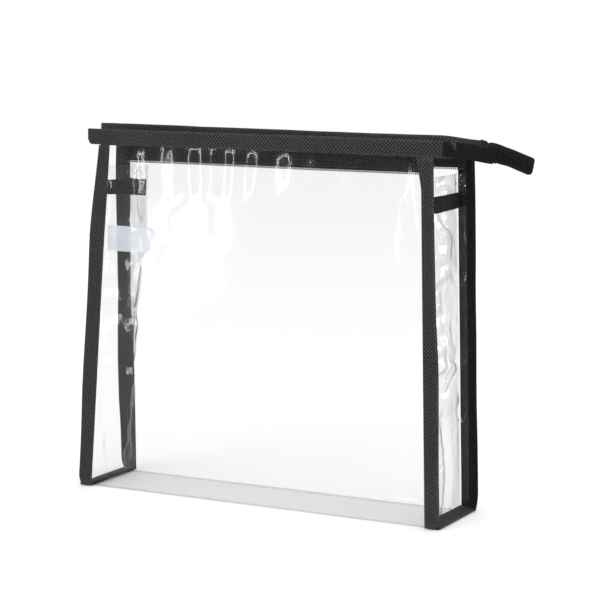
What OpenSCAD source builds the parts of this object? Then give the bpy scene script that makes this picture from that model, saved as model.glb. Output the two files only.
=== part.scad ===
// Clear film makeup bag: a box-bottomed film body with folded fabric bindings,
// a recessed zip that hangs open inside the mouth, and a tail past the right side.
// The origin is the centre of the base on the floor; +X is right, -Y is the front.

/* [Body] */
// Width of the base between the side seams
base_w = 249; // [180:1:320]
// Depth of the base, front to rear
base_d = 56; // [46:1:80]
// Height of the clear walls, floor to rim binding
wall_h = 232; // [160:1:300]
// How far the left side leans in at the top
left_lean = 8; // [0:0.5:14]
// How far the right side leans in at the top
right_lean = 5; // [0:0.5:14]
// Thickness of the clear film
film_t = 0.4; // [0.2:0.05:0.6]
// How far the right side panel bows outwards
right_bow = 1; // [0.5:0.1:3]

/* [Side bindings] */
// Width of the binding that stands out past each side seam
flange_w = 10; // [8:0.5:14]
// Thickness of the binding fabric
leaf_t = 0.5; // [0.3:0.05:0.8]
// Width of the film margin that the side binding grips
margin_w = 6.5; // [4:0.5:7]

/* [Rim] */
// Height of the folded binding along the rim
rim_h = 10.5; // [8:0.5:14]
// Thickness of the folded rim binding
rim_t = 2.6; // [2:0.1:3.2]
// How far the rim binding runs past the left side seam
rim_left_over = 16; // [8:0.5:24]
// How far the rim binding runs past the right side seam
rim_right_over = 17.5; // [8:0.5:24]

/* [Zip] */
// Width of each zip tape that hangs below the rim, without its coil
tape_w = 9.4; // [8:0.1:12]
// Thickness of the zip tape
tape_t = 0.5; // [0.4:0.05:0.6]
// Radius of one coil of teeth
coil_r = 0.7; // [0.5:0.05:0.8]
// Length of the slider body
slider_l = 8.5; // [8:0.5:10]
// Length of the puller from its pin to its tip
puller_l = 21; // [14:1:28]

/* [Tail] */
// How far the bridge bindings reach from the rim's end to the tail
bridge_reach = 19.5; // [16:0.5:26]
// How far each bridge drops on its way to the tail
bridge_drop = 4.2; // [0:0.2:6]
// Length of the tail binding
tail_l = 25.5; // [18:0.5:40]
// Height of the tail binding
tail_h = 9.6; // [8:0.1:12]
// Thickness of the tail binding
tail_t = 3.6; // [3.2:0.1:5]
// Angle at which the tail droops
tail_droop = 19; // [5:1:25]

/* [Straps and label] */
// Width of each stay strap across a side
strap_w = 9.5; // [6:0.5:14]
// Thickness of each stay strap
strap_t = 0.7; // [0.5:0.1:1]
// Distance from the rim binding down to each stay strap
strap_down = 25.5; // [20:0.5:40]
// Distance from the seam to the far end of the blank label
label_l = 39; // [20:1:50]
// Height of the blank label
label_h = 17; // [10:1:24]
// Distance from the rim binding down to the label
label_down = 54; // [44:1:80]

/* [Hidden] */
$fn = 48;

// Clearances: between layers, at a strap or label beside a panel, and round the puller's pin
layer_gap = 0.1;
panel_gap = 0.45;
pin_gap = 0.07;

// Steps along a curved or twisted surface
STEPS = 8;

// The film is lifted by the binding leaf that runs under its margin
margin_lift = leaf_t + layer_gap;
corner_r = 2;
half_d = base_d / 2;
rim_z = wall_h;
rim_gap = 0.3;
wall_top = rim_z - rim_gap;

// Zip: each tape turns about a line just inside its rim binding
hinge_out = rim_t / 2 + 0.6;
tape_hinge_z = rim_z - rim_gap;
tape_top_gap = 0.2;
coil_gap = 0.05;
tape_reach = tape_top_gap + tape_w + coil_gap + 2 * coil_r;
// Half the gap between the rims where they are sewn together, and when the zip is shut
shut_half = hinge_out + tape_reach + layer_gap * 1.5;

// Plan of the rim: it turns about the sewn left end and reaches past the right side
hinge_x = -base_w / 2 + left_lean;
rim_end_x = base_w / 2 - right_lean + rim_right_over;
rim_run = rim_end_x - hinge_x;
rim_len = norm([rim_run, half_d - shut_half]);
rim_angle = atan2(half_d - shut_half, rim_run);

// Plan of the bridges between the rim's ends and the tail
apex_half = 3;
bridge_t = 2;
bridge_cut = 1.5;
bridge_len = norm([bridge_reach, half_d - apex_half]);
bridge_angle = atan2(half_d - apex_half, bridge_reach);
bridge_slope = atan2(bridge_drop, bridge_len);
tail_gap = 2;
tail_x = rim_end_x + bridge_reach + bridge_t / 2 * sin(bridge_angle) + tail_gap;
tail_slot = 1.8;
tail_sink = 0.4;
tail_top = rim_z + rim_h - bridge_drop - tail_sink;
tail_lead = 6;

// Zip tape and coil lie between the two side panels
zip_in_left = 13;
zip_in_right = 4;
zip_left = hinge_x + zip_in_left;
zip_right = base_w / 2 - right_lean - zip_in_right;
tab_in = 4.5;
tab_out = 8;
tab_right = hinge_x + tab_in;
tab_left = hinge_x - tab_out;

// Slider: a plate that clears the closed coils, with a guide lip down each side. It rests
// just short of the chain inside the tail.
chain_gap = 3.4;
slider_x = tail_x - tail_lead * cos(tail_droop) - slider_l / 2 - chain_gap;
slider_hw = 3.2;
channel_h = coil_r + 0.3;
top_plate_t = 1;
lip_gap = tape_t / 2 + 0.35;
lip_w = 0.6;
crown_h = 3.4;
crown_t = 1.6;
pin_r = 0.75;
pin_up = 1.7;
pin_z = tape_hinge_z + channel_h + top_plate_t + pin_up;

// Stay straps and gusset panels stop below the swing of the tapes
swing_room = 2.6;
gusset_top = rim_z - tape_reach - swing_room;
floor_top = margin_lift + film_t + layer_gap;
foot_high = floor_top + film_t + layer_gap;
foot_top = foot_high + leaf_t;
gusset_bottom = max(foot_top + layer_gap, corner_r);
// The inner leaf of a binding starts this far past the seam, and its foot this far in
leaf_back = 0.9;
foot_in = 1.4;

function left_x(z) = -base_w / 2 + left_lean * z / wall_h;
function right_x(z) = base_w / 2 - right_lean * z / wall_h;
// Half depth of the mouth at the rim, and of the bag at any height
function rim_half(x) = shut_half + (half_d - shut_half) * (x - hinge_x) / rim_run;
function half_at(x, z) = half_d + (rim_half(x) - half_d) * z / wall_h;
// Depth of the inward fold of the left side panel: its cut width stays the same
function fold_in(z) = sqrt(max(0, pow(half_d, 2) - pow(half_at(left_x(z), z), 2)));

function steps(from, to, count) = [for (i = [0 : count]) from + (to - from) * i / count];
function mirror_y(points) = [for (i = [len(points) - 1 : -1 : 0])
    [points[i][0], -points[i][1], points[i][2]]];

// A solid through a row of closed strip sections with the same number of points: the
// first half of each section is one face of the strip, the second half the way back
module skin(loops) {
    count = len(loops[0]);
    last = (len(loops) - 1) * count;
    rungs = [for (i = [0 : count / 2 - 2])
        each [[i, i + 1, count - 1 - i], [i + 1, count - 2 - i, count - 1 - i]]];
    lower = [for (face = rungs) [face[2], face[1], face[0]]];
    upper = [for (face = rungs) [face[0] + last, face[1] + last, face[2] + last]];
    sides = [for (k = [0 : len(loops) - 2]) for (i = [0 : count - 1])
        let (j = (i + 1) % count, a = k * count, b = a + count)
        each [[a + i, a + j, b + j], [a + i, b + j, b + i]]];
    polyhedron([for (loop = loops) each loop], concat(lower, sides, upper), convexity = 8);
}

// One face of the film's U profile, front rim to rear rim, set in by a wall thickness.
// across runs from 0 at the left edge of the sheet to 1 at its right edge.
function sheet_point(across, side, z, inset, lift) =
    let (x = sheet_x(across, z))
    [x, side * (half_at(x, z) - inset), z + lift];
function sheet_x(across, z) =
    let (a = left_x(z) - margin_w, b = right_x(z) + margin_w) a + (b - a) * across;
function sheet_side(across, side, inset) =
    [for (z = steps(wall_top, corner_r, STEPS)) sheet_point(across, side, z, inset, 0)];
function sheet_corner(across, side, inset, lift) =
    let (x = sheet_x(across, 0), r = corner_r - inset)
    [for (a = [22.5 : 22.5 : 90])
        [x, side * (half_d - corner_r + r * cos(a)), max(corner_r - r * sin(a), lift + inset)]];
function sheet_face(across, inset, lift) = concat(
    sheet_side(across, -1, inset), sheet_corner(across, -1, inset, lift),
    mirror_y(concat(sheet_side(across, -1, inset), sheet_corner(across, -1, inset, lift))));
function reversed(points) = [for (i = [len(points) - 1 : -1 : 0]) points[i]];
function sheet_loop(across, lift) =
    concat(sheet_face(across, 0, lift), reversed(sheet_face(across, film_t, lift)));

module body_sheet() {
    sheet_w = base_w + 2 * margin_w;
    seam = margin_w / sheet_w;
    ramp = (margin_w + 4) / sheet_w;
    inner = steps(ramp, 1 - ramp, STEPS);
    places = concat([0, seam], inner, [1 - seam, 1]);
    color("lightcyan", 0.35)
        skin([for (i = [0 : len(places) - 1])
            sheet_loop(places[i], (i < 2 || i > len(places) - 3) ? margin_lift : 0)]);
}

// Section of a side panel at height z: two margins turned out along the walls and
// a panel that is folded inwards by fold. side is 1 for the right and -1 for the left.
function gusset_loop(side, x, z, fold) =
    let (out = x + side * margin_w, step = side * film_t,
         near = half_at(x, z) - film_t - layer_gap,
         far = half_at(out, z) - film_t - layer_gap,
         front = [[out, -far, z], [x, -near, z], [x - side * fold, 0, z]],
         back = [[x, near, z], [out, far, z]],
         back_in = [[out, far - film_t, z], [x + step, near - film_t, z]],
         front_in = [[x - side * fold + step, 0, z], [x + step, film_t - near, z],
             [out, film_t - far, z]])
    concat(front, back, back_in, front_in);

module gusset(side) {
    levels = steps(gusset_bottom, gusset_top, STEPS);
    loops = [for (z = levels) side > 0
        ? gusset_loop(1, right_x(z), z, -right_bow)
        : reversed(gusset_loop(-1, left_x(z), z, fold_in(z)))];
    skin([for (loop = loops) reversed(loop)]);
}

module left_gusset() color("lightcyan", 0.3) gusset(-1);
module right_gusset() color("lightcyan", 0.3) gusset(1);

// Section of a side binding's leg: two leaves round the margins, closed at the outer fold
function leg_loop(side, x, z) =
    let (edge = x + side * flange_w, fold = edge - side * leaf_t,
         start = x + side * leaf_back,
         out = layer_gap + leaf_t,
         deep = 2 * (film_t + layer_gap))
    [[x, -half_at(x, z) - out, z], [edge, -half_at(edge, z) - out, z],
     [edge, -half_at(edge, z) + deep + leaf_t, z], [start, -half_at(start, z) + deep + leaf_t, z],
     [start, -half_at(start, z) + deep, z], [fold, -half_at(fold, z) + deep, z],
     [fold, -half_at(fold, z) - layer_gap, z], [x, -half_at(x, z) - layer_gap, z]];

module binding_leg(side) {
    base = foot_top + 2 * layer_gap;
    loops = [for (z = steps(base, wall_top, STEPS))
        leg_loop(side, side > 0 ? right_x(z) : left_x(z), z)];
    skin([for (loop = loops) side > 0 ? reversed(loop) : loop]);
}

// The leg that lies on the floor under and over the end of the base
module binding_foot(side) {
    x = side > 0 ? right_x(0) : left_x(0);
    span = base_d - 2 * (film_t + layer_gap);
    inner = span - 2 * foot_in;
    translate([x + (side > 0 ? 0 : -flange_w), -span / 2, 0]) cube([flange_w, span, leaf_t]);
    translate([x + (side > 0 ? leaf_back : -flange_w), -inner / 2, foot_high])
        cube([flange_w - leaf_back, inner, leaf_t]);
    translate([x + (side > 0 ? flange_w - leaf_t : -flange_w), -inner / 2, leaf_t / 2])
        cube([leaf_t, inner, foot_high]);
}

module side_binding(side) {
    binding_leg(side);
    mirror([0, 1, 0]) binding_leg(side);
    binding_foot(side);
}

module left_binding() color([0.13, 0.13, 0.14]) side_binding(-1);
module right_binding() color([0.13, 0.13, 0.14]) side_binding(1);

// A strap across a side, just outside the panel, between the two inner leaves. Its gap to
// the panel is the same however steeply the panel is folded.
function strap_loop(side, z, fold) =
    let (seam = side > 0 ? right_x(z) : left_x(z), half = half_at(seam, z),
         x = seam + side * (film_t + panel_gap * half_d / half),
         end = half - 2 * (film_t + layer_gap) - leaf_t - layer_gap,
         tip = x - side * fold, t = side * strap_t, tip_t = t * half_d / half)
    [[x, -end, z], [tip, 0, z], [x, end, z],
     [x + t, end, z], [tip + tip_t, 0, z], [x + t, -end, z]];

module stay_strap(side) {
    top = rim_z - strap_down;
    levels = [top - strap_w, top];
    loops = [for (z = levels)
        strap_loop(side, z, side > 0 ? -right_bow : fold_in(z) - 2 * layer_gap)];
    skin([for (loop = loops) side > 0 ? reversed(loop) : loop]);
}

module left_stay_strap() color([0.12, 0.12, 0.13]) stay_strap(-1);
module right_stay_strap() color([0.12, 0.12, 0.13]) stay_strap(1);

// A blank label caught in the front left seam, just behind the front wall
module care_label() {
    thick = 0.25;
    behind = film_t + 2 * panel_gap;
    // Where the folded side panel has cleared the label's back, past the seam
    function clear_of_fold(z) =
        let (x = left_x(z)) (behind + thick) * fold_in(z) / half_at(x, z) + panel_gap;
    function label_loop(z) =
        let (a = left_x(z) + clear_of_fold(z), b = left_x(z) + label_l)
        [[a, behind - half_at(a, z), z], [a, behind + thick - half_at(a, z), z],
         [b, behind + thick - half_at(b, z), z], [b, behind - half_at(b, z), z]];
    top = rim_z - label_down;
    color("lavender", 0.7) skin([label_loop(top - label_h), label_loop(top)]);
}

// Where the two tapes end on the left, they are joined by a sewn tab and a metal stop
module zip_end_tab() {
    beside_rim = 1;
    half = shut_half - rim_t / 2 - beside_rim;
    color([0.2, 0.2, 0.21])
        translate([tab_left, -half, tape_hinge_z - tape_t / 2])
            cube([tab_right - tab_left, 2 * half, tape_t]);
}

module zip_end_stop() {
    stop = [2, 4.4, 0.9];
    stop_in = 3.2;
    color("silver")
        translate([tab_right - stop_in, -stop[1] / 2, tape_hinge_z + tape_t / 2])
            cube(stop);
}

// A folded binding seen end on: straight sides and a round fold at the top
module fold_profile(width, height) {
    translate([-width / 2, 0]) square([width, height - width / 2]);
    translate([0, height - width / 2]) circle(d = width);
}

// Runs a profile along +X from start to end, upright, turned by a slope and a heading
module run_along(start, end, slope = 0, heading = 0) {
    rotate([0, slope, heading])
        translate([start, 0, 0]) rotate([90, 0, 90]) linear_extrude(end - start) children();
}

module rim_binding() {
    translate([hinge_x, -shut_half, rim_z])
        run_along(-rim_left_over, rim_len - bridge_cut, 0, -rim_angle) fold_profile(rim_t, rim_h);
}

module front_rim_binding() color([0.16, 0.16, 0.17]) rim_binding();
module rear_rim_binding() color([0.16, 0.16, 0.17]) mirror([0, 1, 0]) rim_binding();

// Frame of the line that a tape turns about
module at_tape_hinge() {
    translate([hinge_x, -shut_half, tape_hinge_z]) rotate([0, 0, -rim_angle])
        translate([0, hinge_out, 0]) children();
}

module zip_tape() {
    at_tape_hinge()
        translate([zip_left - hinge_x, -tape_t / 2, -tape_top_gap - tape_w])
            cube([zip_right - zip_left, tape_t, tape_w]);
}

module coil() {
    at_tape_hinge()
        translate([zip_left - hinge_x, 0, coil_r - tape_reach])
            rotate([0, 90, 0]) cylinder(r = coil_r, h = zip_right - zip_left);
}

module front_zip_tape() color([0.2, 0.2, 0.21]) zip_tape();
module rear_zip_tape() color([0.2, 0.2, 0.21]) mirror([0, 1, 0]) zip_tape();
module front_coil() color([0.28, 0.28, 0.29]) coil();
module rear_coil() color([0.28, 0.28, 0.29]) mirror([0, 1, 0]) coil();

// Frame of one bridge, at the end of the front rim
module at_bridge() {
    translate([rim_end_x, -half_d, rim_z]) children();
}

module bridge_binding() {
    slot_w = 0.8;
    slot_h = rim_h - 3;
    at_bridge() run_along(bridge_cut, bridge_len, bridge_slope, bridge_angle)
        difference() {
            fold_profile(bridge_t, rim_h);
            translate([-slot_w / 2, -1]) square([slot_w, slot_h + 1]);
        }
}

// The tape's margin runs on inside the bridge's fold
module bridge_tape() {
    gap = 0.15;
    at_bridge() run_along(bridge_cut + 1, bridge_len - 1, bridge_slope, bridge_angle)
        translate([-tape_t / 2, 0.5]) square([tape_t, rim_h - 3 - 0.5 - gap]);
}

module front_bridge_binding() color([0.1, 0.1, 0.11]) bridge_binding();
module rear_bridge_binding() color([0.1, 0.1, 0.11]) mirror([0, 1, 0]) bridge_binding();
module front_bridge_tape() color([0.2, 0.2, 0.21]) bridge_tape();
module rear_bridge_tape() color([0.2, 0.2, 0.21]) mirror([0, 1, 0]) bridge_tape();

// Frame of the tail: its top left end, drooping to the right
module along_tail(start, end) {
    translate([tail_x, 0, tail_top]) run_along(start, end, tail_droop)
        translate([0, -tail_h]) children();
}

// The tail's left end is cut upright, so that the bridges can fold past it
module tail_binding() {
    room = tail_l + tail_h;
    color([0.14, 0.14, 0.15]) difference() {
        along_tail(-1, tail_l)
            difference() {
                fold_profile(tail_t, tail_h);
                translate([-tail_slot / 2, -1]) square([tail_slot, tail_h - tail_slot]);
            }
        translate([tail_x - room, -room / 2, tail_top - room]) cube([room, room, 2 * room]);
    }
}

// Both tapes and the closed coils run on inside the tail, and end just past the slider
module tail_chain() {
    bead = 0.75;
    tape_pair = 1.1;
    sunk = bead + tail_sink;
    short_of_end = 1.5;
    bottom_gap = 1;
    color([0.24, 0.24, 0.25]) along_tail(-tail_lead, tail_l - short_of_end) {
        translate([-tape_pair / 2, sunk])
            square([tape_pair, tail_h - tail_slot - sunk - bottom_gap]);
        translate([0, sunk]) circle(r = bead);
    }
}

// Slider body: a wide round nose to the left, where the two coils come in
module slider_plate(thick) {
    linear_extrude(thick) {
        translate([-slider_l / 2 + slider_hw, 0]) circle(r = slider_hw);
        translate([-slider_l / 2 + slider_hw, -slider_hw])
            square([slider_l - slider_hw, 2 * slider_hw]);
    }
}

module slider_body() {
    lip_bite = 0.1;
    lip_h = channel_h + lip_bite - lip_gap;
    color([0.22, 0.22, 0.23]) translate([slider_x, 0, tape_hinge_z]) {
        translate([0, 0, channel_h]) slider_plate(top_plate_t);
        for (side = [-1, 1])
            translate([slider_hw - slider_l / 2, side * (slider_hw - lip_w / 2) - lip_w / 2, lip_gap])
                cube([slider_l - slider_hw, lip_w, lip_h]);
    }
}

// Crown on the slider: the eye that the puller's pin turns in
module slider_crown() {
    crown_l = 4.6;
    base_z = tape_hinge_z + channel_h + top_plate_t;
    color([0.22, 0.22, 0.23]) difference() {
        translate([slider_x - crown_l / 2, -crown_t / 2, base_z]) cube([crown_l, crown_t, crown_h]);
        translate([slider_x, -crown_t, pin_z]) rotate([-90, 0, 0])
            cylinder(r = pin_r + pin_gap, h = 2 * crown_t);
    }
}

// Puller: a pin through the crown, two arms, and a flat tag with a round end and an eye
module puller() {
    arm_in = crown_t / 2 + 0.3;
    arm_out = arm_in + 0.9;
    tag_t = 1;
    tag_start = 4;
    eye_r = 1;
    color([0.22, 0.22, 0.23]) translate([slider_x, 0, pin_z]) {
        translate([0, -arm_out, 0]) rotate([-90, 0, 0]) cylinder(r = pin_r, h = 2 * arm_out);
        for (side = [-1, 1])
            translate([-tag_start - 1, side > 0 ? arm_in : -arm_out, -tag_t / 2])
                cube([tag_start + 1, arm_out - arm_in, tag_t]);
        translate([0, 0, -tag_t / 2]) linear_extrude(tag_t) difference() {
            union() {
                translate([arm_out - puller_l, -arm_out])
                    square([puller_l - tag_start - arm_out, 2 * arm_out]);
                translate([arm_out - puller_l, 0]) circle(r = arm_out);
            }
            translate([arm_out - puller_l, 0]) circle(r = eye_r);
        }
    }
}

body_sheet();
left_gusset();
right_gusset();
left_binding();
right_binding();
left_stay_strap();
right_stay_strap();
care_label();
zip_end_tab();
zip_end_stop();
front_rim_binding();
rear_rim_binding();
front_zip_tape();
rear_zip_tape();
front_coil();
rear_coil();
front_bridge_binding();
rear_bridge_binding();
front_bridge_tape();
rear_bridge_tape();
tail_binding();
tail_chain();
slider_body();
slider_crown();
puller();
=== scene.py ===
"""Clear film makeup bag: folded fabric bindings, a zip that hangs open inside the mouth, and a tail past one side.

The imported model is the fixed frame. Each class below builds one sub-assembly of the bag round it, in metres,
with its place in its mesh, and dresses it in its own finish.
"""

from __future__ import annotations

import logging
import math
from dataclasses import dataclass
from enum import Enum
from typing import Callable, Sequence
import bpy
import numpy as np
from mathutils import Matrix, Vector


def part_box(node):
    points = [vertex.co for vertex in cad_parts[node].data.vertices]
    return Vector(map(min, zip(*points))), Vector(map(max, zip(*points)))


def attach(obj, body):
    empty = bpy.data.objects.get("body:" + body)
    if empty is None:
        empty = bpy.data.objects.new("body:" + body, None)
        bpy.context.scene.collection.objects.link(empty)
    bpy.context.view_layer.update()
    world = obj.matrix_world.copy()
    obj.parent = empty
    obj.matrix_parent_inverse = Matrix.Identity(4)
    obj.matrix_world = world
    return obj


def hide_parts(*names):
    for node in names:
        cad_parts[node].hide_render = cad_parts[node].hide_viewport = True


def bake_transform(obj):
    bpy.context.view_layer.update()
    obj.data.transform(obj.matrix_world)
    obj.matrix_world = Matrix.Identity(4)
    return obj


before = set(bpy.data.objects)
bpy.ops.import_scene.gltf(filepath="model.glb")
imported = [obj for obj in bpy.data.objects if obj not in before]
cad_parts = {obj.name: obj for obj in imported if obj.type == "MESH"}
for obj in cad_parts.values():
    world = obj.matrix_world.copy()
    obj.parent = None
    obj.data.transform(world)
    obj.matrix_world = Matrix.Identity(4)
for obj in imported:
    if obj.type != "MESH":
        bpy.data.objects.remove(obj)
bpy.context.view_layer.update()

LOG = logging.getLogger("makeup_bag")

Array = np.ndarray
Place = Callable[[Array, Array], Array]
Size = tuple[float, float, float]

FOLD_STEPS = 8
FILM_ANGLE = 75.0
STITCH: Size = (0.0025, 0.0004, 0.00022)
TAPE_STITCH: Size = (0.0019, 0.0004, 0.00025)
TAB_STITCH: Size = (0.0018, 0.0004, 0.00025)
TOOTH: Size = (0.0008, 0.0013, 0.00145)
TAIL_TOOTH: Size = (0.0006, 0.0016, 0.0013)


class Slot(Enum):
    """The record's material slots."""

    FILM = "clear_film"
    BINDING = "binding_fabric"
    TAPE = "zip_tape"
    COIL = "zip_coil"
    PAINT = "slider_paint"
    METAL = "zip_metal"
    LABEL = "label_film"


class Face(Enum):
    """The two long walls of the bag, by the sign of their Y."""

    FRONT = -1
    REAR = 1

    @property
    def rim(self) -> str:
        """Name of the body that this wall's rim rides on."""
        return f"{self.name.lower()}_rim"

    @property
    def bridge(self) -> str:
        """Name of the body that this wall's bridge rides on."""
        return f"{self.name.lower()}_bridge"

    @property
    def tape(self) -> str:
        """Name of the body that this wall's zip tape rides on."""
        return f"{self.name.lower()}_tape"


class End(Enum):
    """The two short ends of the bag, by the sign of their X."""

    LEFT = -1
    RIGHT = 1


# ---------------------------------------------------------------- smooth numbers


def smooth(a: float, b: float, t: Array) -> Array:
    """Rises smoothly from 0 at a to 1 at b."""
    s = np.clip((t - a) / (b - a), 0.0, 1.0)
    return s * s * (3 - 2 * s)


def drift(a: Array, b: Array, seed: int) -> Array:
    """Smooth random waves about one unit long, from -1 to 1.

    Args:
        a: First coordinate, in wave lengths.
        b: Second coordinate, in wave lengths.
        seed: Which waves.

    Returns:
        The height of the waves at each point.
    """
    table = np.random.default_rng(seed).uniform(-1, 1, (64, 64))
    ia, ib = np.floor(a).astype(int), np.floor(b).astype(int)
    fa, fb = a - ia, b - ib
    fa, fb = fa * fa * (3 - 2 * fa), fb * fb * (3 - 2 * fb)
    low = table[ia % 64, ib % 64] * (1 - fa) + table[(ia + 1) % 64, ib % 64] * fa
    high = table[ia % 64, (ib + 1) % 64] * (1 - fa) + table[(ia + 1) % 64, (ib + 1) % 64] * fa
    return low * (1 - fb) + high * fb


def wander(a: Array, row: float, seed: int) -> Array:
    """Drift along one line: smooth random waves of one coordinate, from -1 to 1."""
    return drift(a, np.full_like(a, row), seed)


def lengths(points: Array) -> Array:
    """How far along a line of points each of them lies."""
    return np.concatenate([[0], np.cumsum(np.linalg.norm(np.diff(points, axis=0), axis=1))])


def along(points: Sequence[Sequence[float]], t: Array) -> tuple[Array, Array]:
    """Points at shares t of the length of a flat polyline.

    Args:
        points: The polyline's corners, two numbers each.
        t: Shares of its length, from 0 to 1.

    Returns:
        The first and the second coordinate of each point.
    """
    pts = np.array(points, float)
    reach = lengths(pts)
    at = t * reach[-1]
    return np.interp(at, reach, pts[:, 0]), np.interp(at, reach, pts[:, 1])


def fold_path(back: float, front: float, height: float, wide: float) -> list[tuple[float, float]]:
    """Section of a folded band seen end on: up one leaf, over a round fold and down the other.

    Args:
        back: Height of the first leaf's free edge.
        front: Height of the second leaf's free edge.
        height: Height of the fold.
        wide: Distance between the middles of the two leaves.

    Returns:
        Corners of the section as (across, up).
    """
    r = wide / 2
    angles = [a * math.pi / FOLD_STEPS for a in range(FOLD_STEPS + 1)]
    turn = [(r * math.cos(math.pi - angle), height - r + r * math.sin(angle)) for angle in angles]
    return [(-r, back), *turn, (r, front)]


# ---------------------------------------------------------------- making meshes


def clear_hands() -> None:
    """Leaves edit mode and lets go of every object."""
    if bpy.context.object and bpy.context.object.mode != "OBJECT":
        bpy.ops.object.mode_set(mode="OBJECT")
    bpy.ops.object.select_all(action="DESELECT")


def take(piece: bpy.types.Object) -> None:
    """Selects one piece and makes it the active one."""
    clear_hands()
    piece.select_set(True)
    bpy.context.view_layer.objects.active = piece


def modify(piece: bpy.types.Object, kind: str, **settings: object) -> None:
    """Adds a modifier to a piece, sets it up and applies it."""
    take(piece)
    bpy.ops.object.modifier_add(type=kind)
    tool = piece.modifiers[-1]
    for name, value in settings.items():
        setattr(tool, name, value)
    bpy.ops.object.modifier_apply(modifier=tool.name)


def settle(piece: bpy.types.Object) -> None:
    """Puts a piece's turn, size and place into its mesh."""
    take(piece)
    bpy.ops.object.transform_apply(location=True, rotation=True, scale=True)


def laid_sheet(
    name: str, columns: int, rows: int, size: tuple[float, float], place: Place, thick: float, angle: float = 60
) -> bpy.types.Object:
    """A sheet cut flat as a grid, laid in its place and given its thickness both ways.

    Args:
        name: The piece's name.
        columns: Faces across the sheet.
        rows: Faces along the sheet.
        size: Flat width and length, which its UV map carries in metres.
        place: Gives the place of each point from its two shares across and along.
        thick: The sheet's thickness.
        angle: Edges sharper than this, in degrees, stay sharp.

    Returns:
        The finished sheet, with its faces pointing out.
    """
    clear_hands()
    bpy.ops.mesh.primitive_grid_add(x_subdivisions=columns, y_subdivisions=rows, size=1, calc_uvs=True)
    piece = bpy.context.object
    piece.name = name
    mesh = piece.data
    co = np.empty(len(mesh.vertices) * 3)
    mesh.vertices.foreach_get("co", co)
    flat = co.reshape(-1, 3)
    mesh.vertices.foreach_set("co", place(flat[:, 0] + 0.5, flat[:, 1] + 0.5).ravel())
    uv = np.empty(len(mesh.loops) * 2)
    mesh.uv_layers[0].data.foreach_get("uv", uv)
    mesh.uv_layers[0].data.foreach_set("uv", (uv.reshape(-1, 2) * size).ravel())
    mesh.update()
    modify(piece, "SOLIDIFY", thickness=thick, offset=0.0, use_even_offset=False)
    take(piece)
    bpy.ops.object.mode_set(mode="EDIT")
    bpy.ops.mesh.select_all(action="SELECT")
    bpy.ops.mesh.normals_make_consistent(inside=False)
    bpy.ops.object.mode_set(mode="OBJECT")
    bpy.ops.object.shade_smooth_by_angle(angle=math.radians(angle))
    return piece


def repeated(name: str, part: bpy.types.Object, places: Sequence[Matrix]) -> bpy.types.Object:
    """One small part copied to many places, as one piece.

    Args:
        name: The new piece's name.
        part: The part, modelled once about the origin. It is used up.
        places: Where each copy goes.

    Returns:
        The piece that holds every copy.
    """
    settle(part)
    source = part.data
    co = np.array([v.co for v in source.vertices])
    faces = [tuple(p.vertices) for p in source.polygons]
    points, polygons = [], []
    for i, m in enumerate(places):
        a = np.array(m)
        points.append(co @ a[:3, :3].T + a[:3, 3])
        polygons += [tuple(v + i * len(co) for v in f) for f in faces]
    mesh = bpy.data.meshes.new(name)
    mesh.from_pydata(np.concatenate(points).tolist(), [], polygons)
    mesh.update()
    bpy.data.objects.remove(part)
    piece = bpy.data.objects.new(name, mesh)
    bpy.context.collection.objects.link(piece)
    take(piece)
    bpy.ops.object.shade_smooth()
    return piece


def bead(size: Size, segments: int = 8, rings: int = 6) -> bpy.types.Object:
    """A low bead about the origin: the start of a stitch or a tooth."""
    clear_hands()
    bpy.ops.mesh.primitive_uv_sphere_add(segments=segments, ring_count=rings, radius=0.5)
    part = bpy.context.object
    part.scale = size
    settle(part)
    return part


def aim(at: Sequence[float], run: Sequence[float], out: Sequence[float]) -> Matrix:
    """A place at a point, with X along run and Z out of the surface."""
    x = Vector(run).normalized()
    y = Vector(out).cross(x).normalized()
    z = x.cross(y)
    m = Matrix((x, y, z)).transposed().to_4x4()
    m.translation = Vector(at)
    return m


def seam_places(points: Array, out: Sequence[float], pitch: float) -> list[Matrix]:
    """Places a pitch apart along a line of points.

    Args:
        points: The line, one row for each point.
        out: The way out of the surface that the seam lies on.
        pitch: Distance from one stitch to the next.

    Returns:
        A place for each stitch, with X along the seam.
    """
    reach = lengths(points)
    marks = np.arange(pitch / 2, reach[-1], pitch)
    spots, ahead, behind = (
        np.stack([np.interp(marks + shift, reach, points[:, i]) for i in range(3)], axis=1)
        for shift in (0.0, pitch / 4, -pitch / 4)
    )
    return [aim(s, a - b, out) for s, a, b in zip(spots, ahead, behind)]


# ---------------------------------------------------------------- finishes


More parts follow.
